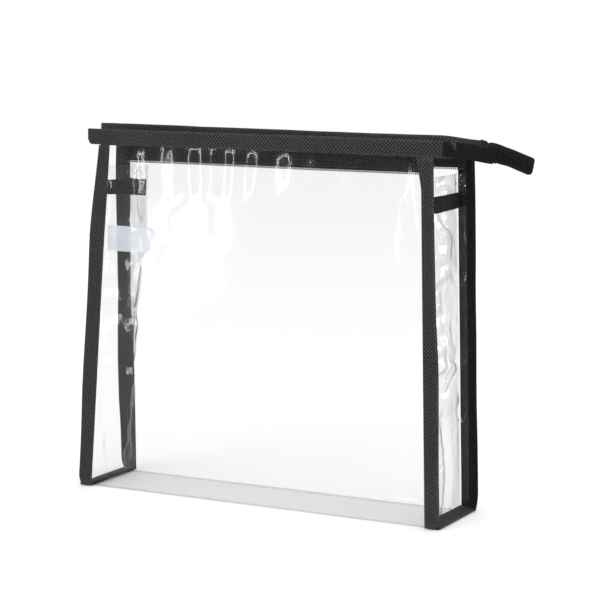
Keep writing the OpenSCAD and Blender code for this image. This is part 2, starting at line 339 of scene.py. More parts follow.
class NodeBench:
    """Adds and joins the nodes of one material or node group."""

    def __init__(self, tree: bpy.types.NodeTree) -> None:
        """Starts on an emptied tree."""
        self.tree = tree
        tree.nodes.clear()

    def add(self, kind: str, inputs: dict[object, object] | None = None, **settings: object) -> bpy.types.Node:
        """Adds one node.

        Args:
            kind: The node's type.
            inputs: Its inputs by name or number: an output socket to join, or a plain value.
            settings: Its own properties.

        Returns:
            The node.
        """
        node = self.tree.nodes.new(kind)
        for name, value in settings.items():
            setattr(node, name, value)
        return self.feed(node, inputs or {})

    def feed(self, node: bpy.types.Node, inputs: dict[object, object]) -> bpy.types.Node:
        """Joins each input of a node to a socket, or sets its plain value."""
        for key, value in inputs.items():
            if isinstance(value, bpy.types.NodeSocket):
                self.tree.links.new(value, node.inputs[key])
            else:
                node.inputs[key].default_value = value
        return node

    def math(self, operation: str, a: object, b: object = 0.0, clamp: bool = False) -> bpy.types.NodeSocket:
        """The output of one Math node."""
        return self.add("ShaderNodeMath", {0: a, 1: b}, operation=operation, use_clamp=clamp).outputs[0]

    def blend(self, share: object, a: object, b: object) -> bpy.types.NodeSocket:
        """The output of one colour mix."""
        return self.add("ShaderNodeMix", {0: share, 6: a, 7: b}, data_type="RGBA").outputs[2]

    def ramp(
        self,
        value: bpy.types.NodeSocket,
        low: object,
        high: object,
        to: tuple[float, float] = (0.0, 1.0),
    ) -> bpy.types.NodeSocket:
        """The output of one Map Range node."""
        ends = {0: value, 1: low, 2: high, 3: to[0], 4: to[1]}
        return self.add("ShaderNodeMapRange", ends, clamp=True).outputs[0]

    def bump(self, height: bpy.types.NodeSocket, strength: float, distance: float) -> bpy.types.NodeSocket:
        """The normal that one Bump node puts out."""
        inputs = {"Height": height, "Strength": strength, "Distance": distance}
        return self.add("ShaderNodeBump", inputs).outputs[0]

    def surface(self, inputs: dict[object, object]) -> None:
        """Ends a material in one Principled shader."""
        shader = self.add("ShaderNodeBsdfPrincipled", inputs)
        self.add("ShaderNodeOutputMaterial", {"Surface": shader.outputs[0]})


def grey(value: float, tint: tuple[float, float, float] = (1.0, 1.0, 1.0)) -> tuple[float, float, float, float]:
    """A grey with a slight tint, as a colour with alpha."""
    return (value * tint[0], value * tint[1], value * tint[2], 1.0)


def group(
    name: str, inputs: dict[str, tuple[str, object]], outputs: Sequence[str]
) -> tuple[bpy.types.NodeTree, NodeBench, bpy.types.Node]:
    """Makes a shader node group with named sockets.

    Args:
        name: The group's name.
        inputs: Socket type and value of each input, by name.
        outputs: Names of its number outputs.

    Returns:
        The group, its bench and its input node.
    """
    tree = bpy.data.node_groups.new(name, "ShaderNodeTree")
    for key, (kind, value) in inputs.items():
        socket = tree.interface.new_socket(name=key, in_out="INPUT", socket_type=kind)
        if value is not None:
            socket.default_value = value
    for key in outputs:
        tree.interface.new_socket(name=key, in_out="OUTPUT", socket_type="NodeSocketFloat")
    bench = NodeBench(tree)
    return tree, bench, bench.add("NodeGroupInput")


class SharedEffects:
    """Node groups that more than one finish uses. Each puts out masks and values only."""

    def __init__(self) -> None:
        """Builds every group once."""
        self.pits = self._pits()
        self.fibres = self._fibres()
        self.weave = self._weave()
        self.wear = self._wear()
        self.tone = self._tone()

    def _pits(self) -> bpy.types.NodeTree:
        """Small bonded pits in a diagonal lattice, as on spun fabric."""
        tree, b, start = group(
            "Bonded pits",
            {
                "Place": ("NodeSocketVector", None),
                "Pitch": ("NodeSocketFloat", 0.0014),
                "Pit size": ("NodeSocketFloat", 0.3),
            },
            ["Pit"],
        )
        scale = b.math("DIVIDE", 1.0, start.outputs["Pitch"])
        turned = b.add(
            "ShaderNodeVectorRotate",
            {"Vector": start.outputs["Place"], "Angle": math.radians(45)},
            rotation_type="Z_AXIS",
        )
        cells = b.add(
            "ShaderNodeTexVoronoi",
            {"Vector": turned.outputs[0], "Scale": scale, "Randomness": 0.12},
            voronoi_dimensions="2D",
            feature="F1",
        )
        size = start.outputs["Pit size"]
        inner = b.math("MULTIPLY", size, 0.55)
        pit = b.ramp(cells.outputs["Distance"], inner, size, (1.0, 0.0))
        b.add("NodeGroupOutput", {"Pit": pit})
        return tree

    def _fibres(self) -> bpy.types.NodeTree:
        """Fine stray fibres that run every way."""
        tree, b, start = group(
            "Loose fibres", {"Place": ("NodeSocketVector", None), "Fineness": ("NodeSocketFloat", 2200.0)}, ["Fibre"]
        )
        place, scale = start.outputs["Place"], start.outputs["Fineness"]
        fine = b.add("ShaderNodeTexNoise", {"Vector": place, "Scale": scale, "Detail": 4.0, "Distortion": 1.4})
        b.add("NodeGroupOutput", {"Fibre": fine.outputs[0]})
        return tree

    def _weave(self) -> bpy.types.NodeTree:
        """Over and under of a narrow woven tape, on its own flat map."""
        tree, b, start = group(
            "Tape weave", {"Place": ("NodeSocketVector", None), "Pitch": ("NodeSocketFloat", 0.0006)}, ["Height"]
        )
        parts = b.add("ShaderNodeSeparateXYZ", {0: start.outputs["Place"]})
        rate = b.math("DIVIDE", math.tau, start.outputs["Pitch"])
        warp = b.math("SINE", b.math("MULTIPLY", parts.outputs[0], rate))
        weft = b.math("SINE", b.math("MULTIPLY", parts.outputs[1], rate))
        crossed = b.math("MULTIPLY", warp, weft)
        rib = b.math("ABSOLUTE", weft)
        height = b.math("ADD", b.math("MULTIPLY", crossed, 0.35), b.math("MULTIPLY", rib, 0.65))
        b.add("NodeGroupOutput", {"Height": height})
        return tree

    def _wear(self) -> bpy.types.NodeTree:
        """Edges rubbed bare, broken up by grain."""
        tree, b, start = group(
            "Rubbed edges",
            {
                "Place": ("NodeSocketVector", None),
                "Amount": ("NodeSocketFloat", 0.5),
                "Grain": ("NodeSocketFloat", 300.0),
            },
            ["Wear"],
        )
        place, grain = start.outputs["Place"], start.outputs["Grain"]
        shape = b.add("ShaderNodeNewGeometry")
        noise = b.add("ShaderNodeTexNoise", {"Vector": place, "Scale": grain, "Detail": 3.0})
        edge = b.ramp(shape.outputs["Pointiness"], 0.5, 0.6)
        rough = b.ramp(noise.outputs[0], 0.35, 0.65)
        wear = b.math("MULTIPLY", b.math("MULTIPLY", edge, rough), start.outputs["Amount"], clamp=True)
        b.add("NodeGroupOutput", {"Wear": wear})
        return tree

    def _tone(self) -> bpy.types.NodeTree:
        """Broad, faint changes of shade and settled dust."""
        tree, b, start = group(
            "Uneven tone",
            {"Place": ("NodeSocketVector", None), "Breadth": ("NodeSocketFloat", 22.0)},
            ["Tone", "Dust"],
        )
        place, breadth = start.outputs["Place"], start.outputs["Breadth"]
        broad = b.add("ShaderNodeTexNoise", {"Vector": place, "Scale": breadth, "Detail": 2.0})
        specks = b.add("ShaderNodeTexNoise", {"Vector": place, "Scale": 900.0, "Detail": 2.0})
        tone = b.ramp(broad.outputs[0], 0.3, 0.7)
        dust = b.ramp(specks.outputs[0], 0.62, 0.75)
        b.add("NodeGroupOutput", {"Tone": tone, "Dust": dust})
        return tree


@dataclass(frozen=True)
class Finish:
    """What every finish has: a name, and a shader tree that it builds."""

    name: str

    def make(self, effects: SharedEffects) -> bpy.types.Material:
        """Makes the material.

        Args:
            effects: The shared node groups.

        Returns:
            The new material, with its nodes.
        """
        material = bpy.data.materials.new(self.name)
        material.use_nodes = True
        self.wire(NodeBench(material.node_tree), effects)
        return material

    def wire(self, b: NodeBench, effects: SharedEffects) -> None:
        """Joins this finish's nodes."""
        raise NotImplementedError

    @staticmethod
    def effect(b: NodeBench, tree: bpy.types.NodeTree, inputs: dict[object, object]) -> bpy.types.Node:
        """Places a shared node group."""
        return b.add("ShaderNodeGroup", inputs, node_tree=tree)


@dataclass(frozen=True)
class SpunFabric(Finish):
    """Soft spun fabric with a lattice of bonded pits."""

    dark: float = 0.005
    light: float = 0.014
    pitch: float = 0.0018
    pit_size: float = 0.44
    pit_share: float = 0.97
    sheen: float = 0.04
    tint: tuple[float, float, float] = (1.0, 1.0, 1.04)

    def wire(self, b: NodeBench, effects: SharedEffects) -> None:
        """Pits, fibres and an uneven tone under a faint sheen."""
        coords = b.add("ShaderNodeTexCoord")
        flat, solid = coords.outputs["UV"], coords.outputs["Object"]
        pit = self.effect(b, effects.pits, {"Place": flat, "Pitch": self.pitch, "Pit size": self.pit_size}).outputs[0]
        fibre = self.effect(b, effects.fibres, {"Place": solid}).outputs[0]
        tone = self.effect(b, effects.tone, {"Place": solid})
        wear = self.effect(b, effects.wear, {"Place": solid, "Amount": 0.35}).outputs[0]
        base = b.blend(b.ramp(fibre, 0.35, 0.68), grey(self.dark, self.tint), grey(self.light, self.tint))
        base = b.blend(b.math("MULTIPLY", tone.outputs["Tone"], 0.35), base, grey(self.light * 1.15, self.tint))
        base = b.blend(b.math("MULTIPLY", pit, self.pit_share), base, grey(self.dark * 0.03))
        base = b.blend(b.math("MULTIPLY", tone.outputs["Dust"], 0.12), base, grey(0.16))
        base = b.blend(wear, base, grey(self.light * 2.2))
        height = b.math("SUBTRACT", b.math("MULTIPLY", fibre, 0.35), pit)
        normal = b.bump(height, 0.75, 0.00012)
        b.surface(
            {
                "Base Color": base,
                "Roughness": b.ramp(pit, 0.0, 1.0, (0.86, 0.6)),
                "Normal": normal,
                "Sheen Weight": self.sheen,
                "Sheen Roughness": 0.5,
                "Specular IOR Level": 0.12,
            }
        )


@dataclass(frozen=True)
class WovenTape(Finish):
    """Narrow woven zip tape with ribs along its length."""

    dark: float = 0.004
    light: float = 0.014
    pitch: float = 0.0007

    def wire(self, b: NodeBench, effects: SharedEffects) -> None:
        """Ribs and crossings, with threads that differ a little."""
        coords = b.add("ShaderNodeTexCoord")
        flat, solid = coords.outputs["UV"], coords.outputs["Object"]
        height = self.effect(b, effects.weave, {"Place": flat, "Pitch": self.pitch}).outputs[0]
        fibre = self.effect(b, effects.fibres, {"Place": solid, "Fineness": 1500.0}).outputs[0]
        tone = self.effect(b, effects.tone, {"Place": solid})
        base = b.blend(b.ramp(height, -0.2, 0.9), grey(self.dark), grey(self.light))
        base = b.blend(b.math("MULTIPLY", b.ramp(fibre, 0.5, 0.7), 0.35), base, grey(self.light * 1.5))
        base = b.blend(b.math("MULTIPLY", tone.outputs["Dust"], 0.15), base, grey(0.2))
        normal = b.bump(b.math("ADD", height, b.math("MULTIPLY", fibre, 0.3)), 0.6, 0.0001)
        b.surface(
            {
                "Base Color": base,
                "Roughness": b.ramp(fibre, 0.3, 0.7, (0.62, 0.85)),
                "Normal": normal,
                "Sheen Weight": 0.04,
                "Specular IOR Level": 0.2,
            }
        )


@dataclass(frozen=True)
class HardFinish(Finish):
    """A hard finish: moulded coil plastic, slider enamel or dull metal, by its numbers."""

    base: float = 0.02
    worn: float = 0.3
    metal: float = 0.0
    worn_metal: float = 0.0
    rough: tuple[float, float] = (0.3, 0.45)
    wear: float = 0.5
    grain: float = 600.0

    def wire(self, b: NodeBench, effects: SharedEffects) -> None:
        """A grained skin that is rubbed through along its edges."""
        solid = b.add("ShaderNodeTexCoord").outputs["Object"]
        wear = self.effect(b, effects.wear, {"Place": solid, "Amount": self.wear, "Grain": self.grain}).outputs[0]
        tone = self.effect(b, effects.tone, {"Place": solid, "Breadth": 60.0})
        fine = self.effect(b, effects.fibres, {"Place": solid, "Fineness": self.grain * 3}).outputs[0]
        base = b.blend(tone.outputs["Tone"], grey(self.base * 0.8), grey(self.base * 1.25))
        base = b.blend(wear, base, grey(self.worn))
        base = b.blend(b.math("MULTIPLY", tone.outputs["Dust"], 0.1), base, grey(0.3))
        metal = b.ramp(wear, 0.0, 1.0, (self.metal, max(self.metal, self.worn_metal)))
        normal = b.bump(fine, 0.18, 0.00005)
        rough = b.ramp(fine, 0.3, 0.7, self.rough)
        b.surface({"Base Color": base, "Roughness": rough, "Metallic": metal, "Normal": normal})


@dataclass(frozen=True)
class SewingThread(Finish):
    """Twisted sewing thread."""

    dark: float = 0.005
    light: float = 0.022

    def wire(self, b: NodeBench, effects: SharedEffects) -> None:
        """A slanting twist with a soft sheen."""
        solid = b.add("ShaderNodeTexCoord").outputs["Object"]
        waves = {"Vector": solid, "Scale": 900.0, "Distortion": 1.0}
        twist = b.add("ShaderNodeTexWave", waves, bands_direction="DIAGONAL").outputs["Fac"]
        fibre = self.effect(b, effects.fibres, {"Place": solid, "Fineness": 3000.0}).outputs[0]
        base = b.blend(twist, grey(self.dark), grey(self.light))
        normal = b.bump(twist, 0.5, 0.00008)
        rough = b.ramp(fibre, 0.3, 0.7, (0.5, 0.75))
        b.surface({"Base Color": base, "Roughness": rough, "Normal": normal, "Sheen Weight": 0.3})


@dataclass(frozen=True)
class ClearFilm(Finish):
    """Clear, slightly crinkled film with a faint haze."""

    haze: float = 0.003
    gloss: float = 0.5
    crinkle: float = 0.00006
    tint: tuple[float, float, float] = (0.973, 0.973, 0.975)
    dust_share: float = 0.012

    def wire(self, b: NodeBench, effects: SharedEffects) -> None:
        """Sees through, mirrors by angle on its outer side, and carries scuffs and haze."""
        solid = b.add("ShaderNodeTexCoord").outputs["Object"]
        wave = b.add(
            "ShaderNodeTexNoise",
            {"Vector": solid, "Scale": 60.0, "Detail": 3.0, "Roughness": 0.5, "Distortion": 0.6},
        )
        crease = b.add("ShaderNodeTexNoise", {"Vector": solid, "Scale": 26.0, "Detail": 1.0}, normalize=True)
        ridge = b.math("ABSOLUTE", b.math("SUBTRACT", crease.outputs[0], 0.5))
        soft = b.math("MULTIPLY", wave.outputs[0], 0.5)
        sharp = b.math("MULTIPLY", b.ramp(ridge, 0.0, 0.05), 0.25)
        normal = b.bump(b.math("ADD", soft, sharp), 0.5, self.crinkle * 8)
        tone = self.effect(b, effects.tone, {"Place": solid, "Breadth": 18.0})
        clear = b.add("ShaderNodeBsdfTransparent", {"Color": (*self.tint, 1.0)})
        mirror = b.add("ShaderNodeBsdfAnisotropic", {"Color": grey(1.0), "Roughness": 0.07, "Normal": normal})
        veil = b.add("ShaderNodeBsdfDiffuse", {"Color": (0.86, 0.86, 0.9, 1.0), "Normal": normal})
        fresnel = b.add("ShaderNodeFresnel", {"IOR": 1.5, "Normal": normal})
        side = b.add("ShaderNodeNewGeometry").outputs["Backfacing"]
        outer = b.math("SUBTRACT", 1.0, side)
        shine = b.math("MULTIPLY", b.math("MULTIPLY", fresnel.outputs[0], self.gloss), outer, clamp=True)
        dust = b.math("MULTIPLY", tone.outputs["Dust"], self.dust_share)
        scuff = b.math("ADD", dust, b.math("MULTIPLY", tone.outputs["Tone"], self.haze * 0.6))
        haze = b.math("ADD", scuff, self.haze * 0.5, clamp=True)
        inner = b.add("ShaderNodeMixShader", {0: haze, 1: clear.outputs[0], 2: veil.outputs[0]})
        whole = b.add("ShaderNodeMixShader", {0: shine, 1: inner.outputs[0], 2: mirror.outputs[0]})
        b.add("ShaderNodeOutputMaterial", {"Surface": whole.outputs[0]})


@dataclass(frozen=True)
class BlankLabel(Finish):
    """Milky label film with no print."""

    alpha: float = 0.62

    def wire(self, b: NodeBench, effects: SharedEffects) -> None:
        """A translucent skin with a faint grain."""
        solid = b.add("ShaderNodeTexCoord").outputs["Object"]
        tone = self.effect(b, effects.tone, {"Place": solid, "Breadth": 90.0})
        fine = self.effect(b, effects.fibres, {"Place": solid, "Fineness": 1800.0}).outputs[0]
        base = b.blend(tone.outputs["Tone"], (0.68, 0.72, 0.78, 1.0), (0.8, 0.83, 0.88, 1.0))
        normal = b.bump(fine, 0.2, 0.00005)
        rough = b.ramp(fine, 0.3, 0.7, (0.35, 0.55))
        b.surface({"Base Color": base, "Roughness": rough, "Normal": normal, "Alpha": self.alpha})


@dataclass(frozen=True)
class StudioFloor(Finish):
    """Plain pale floor, painted dark grey where the film mirrors it: a painted dark reflection."""

    mirrored: float = 0.22

    def wire(self, b: NodeBench, effects: SharedEffects) -> None:
        """Matt white with hardly any grain."""
        solid = b.add("ShaderNodeTexCoord").outputs["Object"]
        tone = self.effect(b, effects.tone, {"Place": solid, "Breadth": 2.0})
        base = b.blend(b.math("MULTIPLY", tone.outputs["Tone"], 0.3), grey(0.93), grey(0.95))
        ray = b.add("ShaderNodeLightPath")
        # Glossy rays see the floor painted dark grey: a painted dark reflection, so the film mirrors a dim room.
        base = b.blend(ray.outputs["Is Glossy Ray"], base, grey(self.mirrored))
        b.surface({"Base Color": base, "Roughness": 0.9, "Specular IOR Level": 0.1})


class Wardrobe:
    """Makes each finish once, and dresses pieces in it."""

    def __init__(self) -> None:
        """Builds the shared effects and every finish."""
        self.effects = SharedEffects()
        finishes: Sequence[Finish] = (
            SpunFabric("Binding fabric", dark=0.028, light=0.064),
            # A darker copy of the binding fabric: painted shade, for the faces that turn away from the light.
            SpunFabric("Binding fabric deep", dark=0.005, light=0.017),
            WovenTape("Zip tape weave"),
            HardFinish("Coil plastic", base=0.03, worn=0.12, rough=(0.25, 0.4), wear=0.4),
            HardFinish(
                "Slider enamel", base=0.018, worn=0.42, worn_metal=0.9, rough=(0.22, 0.38), wear=0.8, grain=420.0
            ),
            HardFinish("Dull metal", base=0.5, worn=0.75, metal=1.0, worn_metal=1.0, rough=(0.28, 0.48), wear=0.6),
            SewingThread("Sewing thread"),
            ClearFilm("Clear film"),
            ClearFilm("Clear film side", haze=0.005, gloss=1.6, crinkle=0.0005),
            BlankLabel("Blank label film"),
            StudioFloor("Studio floor"),
        )
        self.materials = {f.name: f.make(self.effects) for f in finishes}

    def dress(self, piece: bpy.types.Object, finish: str, slot: Slot | None = None) -> None:
        """Gives a piece one finish.

        Args:
            piece: The piece.
            finish: The finish's name.
            slot: The record's slot for the piece. Not used.
        """
        if piece.data.materials:
            for i in range(len(piece.data.materials)):
                piece.data.materials[i] = self.materials[finish]
        else:
            piece.data.materials.append(self.materials[finish])
        LOG.info("%s: %s, %d faces", piece.name, finish, len(piece.data.polygons))


# ---------------------------------------------------------------- the bag


@dataclass(frozen=True)
class BagShape:
    """Sizes that the sub-assemblies share, in metres."""

    base_w: float = 0.249
    half_d: float = 0.028
    wall_h: float = 0.232
    left_lean: float = 0.008
    right_lean: float = 0.005
    margin: float = 0.0065
    shut_half: float = 0.0131
    hinge_x: float = -0.1165
    rim_end: float = 0.137
    film: float = 0.0004
    sway_from: float = 0.12
    gusset_top: float = 0.21835
    gusset_bottom: float = 0.0022

    def left(self, z: Array) -> Array:
        """X of the left side seam at a height."""
        return -self.base_w / 2 + self.left_lean * z / self.wall_h

    def right(self, z: Array) -> Array:
        """X of the right side seam at a height."""
        return self.base_w / 2 - self.right_lean * z / self.wall_h

    def seam(self, end: End, z: Array) -> Array:
        """X of the side seam at one end."""
        return self.left(z) if end is End.LEFT else self.right(z)

    def mouth_half(self, x: Array) -> Array:
        """Half the mouth's width along the rim."""
        swing = self.half_d - self.shut_half
        return self.shut_half + swing * (x - self.hinge_x) / (self.rim_end - self.hinge_x)

    def half(self, x: Array, z: Array) -> Array:
        """Half the bag's depth at a place on a wall."""
        return self.half_d + (self.mouth_half(x) - self.half_d) * z / self.wall_h

    def fold_in(self, z: Array) -> Array:
        """How far the left side panel folds in."""
        return np.sqrt(np.maximum(self.half_d**2 - self.half(self.left(z), z) ** 2, 0))

    def sway(self, piece: bpy.types.Object, face: Face) -> None:
        """Puts a wall piece's place into its mesh; it does not follow its rim."""
        face.rim
        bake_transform(piece)

    def side_sway(self, piece: bpy.types.Object, face: Face) -> None:
        """Puts the place of a piece of the right side into its mesh; it does not follow its rim."""
        face.rim
        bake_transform(piece)


@dataclass
class FilmBody:
    """The clear film: two walls, a base, and a panel at each end."""

    shape: BagShape
    wardrobe: Wardrobe
    fold_r: float = 0.0025
    under: float = 0.003
    tucked: float = 0.0035
    inset: float = 0.0007

    def build(self) -> None:
        """Makes and dresses every film panel."""
        for face in Face:
            self.wall(face)
        self.base()
        self.left_panel()
        for face in Face:
            self.right_panel(face)

    def wall(self, face: Face) -> None:
        """One long wall, with its round fold at the floor and its soft waves."""
        s = self.shape
        turn = self.fold_r * math.pi / 2
        rise = s.wall_h + self.tucked - self.fold_r
        length = self.under + turn + rise
        width = s.base_w + 2 * s.margin
        seed = 11 if face is Face.FRONT else 47

        def place(u: Array, v: Array) -> Array:
            """Lies on the floor, turns up and climbs to the rim."""
            run = v * length
            bend = np.clip((run - self.under) / self.fold_r, 0, math.pi / 2)
            z = 0.0003 + self.fold_r * (1 - np.cos(bend)) + np.maximum(run - self.under - turn, 0)
            back = np.maximum(self.under - run, 0) + self.fold_r * (1 - np.sin(bend))
            low, high = s.left(z) - s.margin, s.right(z) + s.margin
            x = low + (high - low) * u
            seam = np.minimum(x - s.left(z), s.right(z) - x)
            free = smooth(0.0, 0.022, seam) * smooth(0.004, 0.03, z) * (1 - smooth(0.222, 0.233, z))
            pull = smooth(0.0, 0.03, seam) * smooth(0.194, 0.214, z) * (1 - smooth(0.226, 0.233, z))
            lazy = drift(x / 0.075 + 7, z / 0.09, seed) * 0.0012
            flutes = np.sin(x / 0.0205 * math.tau + 2.4 * drift(x / 0.05, z / 0.16, seed + 1)) * 0.00016
            ripple = drift(x / 0.019, z / 0.075 + x * 4, seed + 2) * 0.00038
            slack = smooth(0.09, 0.0, z) * drift(x / 0.06 + z * 10, z / 0.022, seed + 3) * 0.0005
            belly = 0.0011 * np.sin(math.pi * np.clip(z / s.wall_h, 0, 1))
            out = free * (lazy + belly + slack) + pull * (flutes + ripple)
            y = s.half(x, z) - back + out
            return np.stack([x, face.value * y, z], axis=1)

        piece = laid_sheet(f"{face.name.lower()}_film", 150, 140, (width, length), place, s.film, FILM_ANGLE)
        self.wardrobe.dress(piece, "Clear film", Slot.FILM)
        if face is Face.FRONT:
            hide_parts("body_sheet")
        s.sway(piece, face)

    def base(self) -> None:
        """The base, which lies on the floor between the folds."""
        s = self.shape
        width, depth = s.base_w + 2 * s.margin, 2 * (s.half_d - self.fold_r) - 0.0006

        def place(u: Array, v: Array) -> Array:
            """Nearly flat on the floor, over the binding at both ends."""
            x = (u - 0.5) * width
            y = (v - 0.5) * depth
            over = smooth(s.base_w / 2 - 0.006, s.base_w / 2 + 0.001, np.abs(x))
            z = 0.0004 + 0.0006 * over + 0.0002 * (1 + drift(x / 0.04, y / 0.03, 5)) * (1 - over)
            return np.stack([x, y, z], axis=1)

        piece = laid_sheet("base_film", 96, 24, (width, depth), place, s.film, FILM_ANGLE)
        self.wardrobe.dress(piece, "Clear film", Slot.FILM)
        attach(piece, "root")

    def left_panel(self) -> None:
        """The left panel, folded in down its middle, with its margins turned out along the walls."""
        s = self.shape
        tall = s.gusset_top - s.gusset_bottom
        width = 2 * (s.half_d + s.margin)

        def place(u: Array, v: Array) -> Array:
            """Margin, panel to the fold, panel back and margin."""
            z = s.gusset_bottom + v * tall
            x0 = s.left(z)
            near = s.half(x0, z) - self.inset
            reach = (u - 0.5) * width
            inside = np.clip(np.abs(reach), 0, s.half_d) / s.half_d
            sharp = np.sqrt((1 - inside) ** 2 + 0.0012) - 0.0346
            depth = (1 - inside) * 0.15 + 0.85 * np.clip(sharp, 0, 1)
            margin = np.clip(np.abs(reach) - s.half_d, 0, s.margin)
            crease = drift(reach / 0.010 + z * 20, z / 0.028, 81) * 0.0019
            crease = crease + drift(reach / 0.02, z / 0.009, 82) * 0.0011
            middle = smooth(0.0, 0.2, 1 - inside)
            x = x0 + s.fold_in(z) * depth + middle * crease - margin
            y = np.sign(reach) * near * inside
            y = np.where(margin > 0, np.sign(reach) * (s.half(x, z) - self.inset), y)
            return np.stack([x, y, z], axis=1)

        piece = laid_sheet("left_side_film", 64, 110, (width, tall), place, s.film, FILM_ANGLE)
        self.wardrobe.dress(piece, "Clear film side", Slot.FILM)
        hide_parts("left_gusset")
        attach(piece, "root")

    def right_panel(self, face: Face) -> None:
        """Half of the right panel, from its margin on one wall to the middle of the side."""
        s = self.shape
        tall = s.gusset_top - s.gusset_bottom
        width = s.half_d + s.margin

        def place(u: Array, v: Array) -> Array:
            """Margin along the wall, then across to the middle, with crescent creases."""
            z = s.gusset_bottom + v * tall
            x0 = s.right(z)
            near = s.half(x0, z) - self.inset
            reach = u * width
            inside = np.clip(reach / s.half_d, 0, 1)
            margin = np.clip(reach - s.half_d, 0, s.margin)
            across = face.value * inside * near
            bow = 0.001 * (1 - inside**2)
            arc = z + 9 * across**2
            crescent = drift(arc / 0.0065, across / 0.028 + 3, 93) * 0.0014 * smooth(0.05, 0.09, z)
            off = across - 0.006 * np.sin(z * 55)
            long_fold = np.exp(-((off / 0.004) ** 2)) * 0.0022 * (1 - smooth(0.05, 0.075, z))
            broad = drift(across / 0.03 + 5, z / 0.045, 95) * 0.0009
            middle = smooth(0.0, 0.3, 1 - inside)
            x = x0 + bow + middle * (crescent + broad - long_fold) + margin
            y = np.where(margin > 0, face.value * (s.half(x, z) - self.inset), across)
            return np.stack([x, y, z], axis=1)

        piece = laid_sheet(f"right_side_film_{face.name.lower()}", 44, 130, (width, tall), place, s.film, FILM_ANGLE)
        self.wardrobe.dress(piece, "Clear film side", Slot.FILM)
        if face is Face.FRONT:
            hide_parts("right_gusset")
        s.side_sway(piece, face)


@dataclass(frozen=True)
class LegCut:
    """How one leg of a side binding differs from its plain width, by height.

    Each height has how much further out the fold runs, and how far out the free edges start. Lean is how far the
    fold stands away from the wall, and corner is how much its bottom corner is cut back.
    """

    heights: tuple[float, ...]
    outer: tuple[float, ...]
    inner: tuple[float, ...]
    lean: float = 0.0
    corner: float = 0.0035


LEG_CUTS: dict[tuple[End, Face], LegCut] = {
    (End.LEFT, Face.FRONT): LegCut(
        heights=(0.0, 0.02, 0.13, 0.17, 0.2, 0.232),
        outer=(0.0009, 0.0009, 0.0018, 0.002, 0.0008, -0.0011),
        inner=(0.0, 0.0, 0.0, 0.0, -0.0006, -0.0008),
    ),
    (End.LEFT, Face.REAR): LegCut(
        heights=(0.0, 0.05, 0.08, 0.13, 0.2, 0.232),
        outer=(0.001, 0.003, 0.003, 0.002, 0.0015, 0.0005),
        inner=(0.0, 0.0, 0.0004, 0.0018, 0.001, 0.0005),
    ),
    (End.RIGHT, Face.FRONT): LegCut(
        heights=(0.0, 0.1, 0.2, 0.212, 0.232),
        outer=(0.0, 0.0, -0.0017, -0.0017, -0.0017),
        inner=(0.0, 0.0, 0.0, 0.0, -0.003),
    ),
    (End.RIGHT, Face.REAR): LegCut(
        heights=(0.0, 0.232), outer=(0.0014, 0.0012), inner=(0.0006, 0.0006), lean=0.0024, corner=0.001
    ),
}


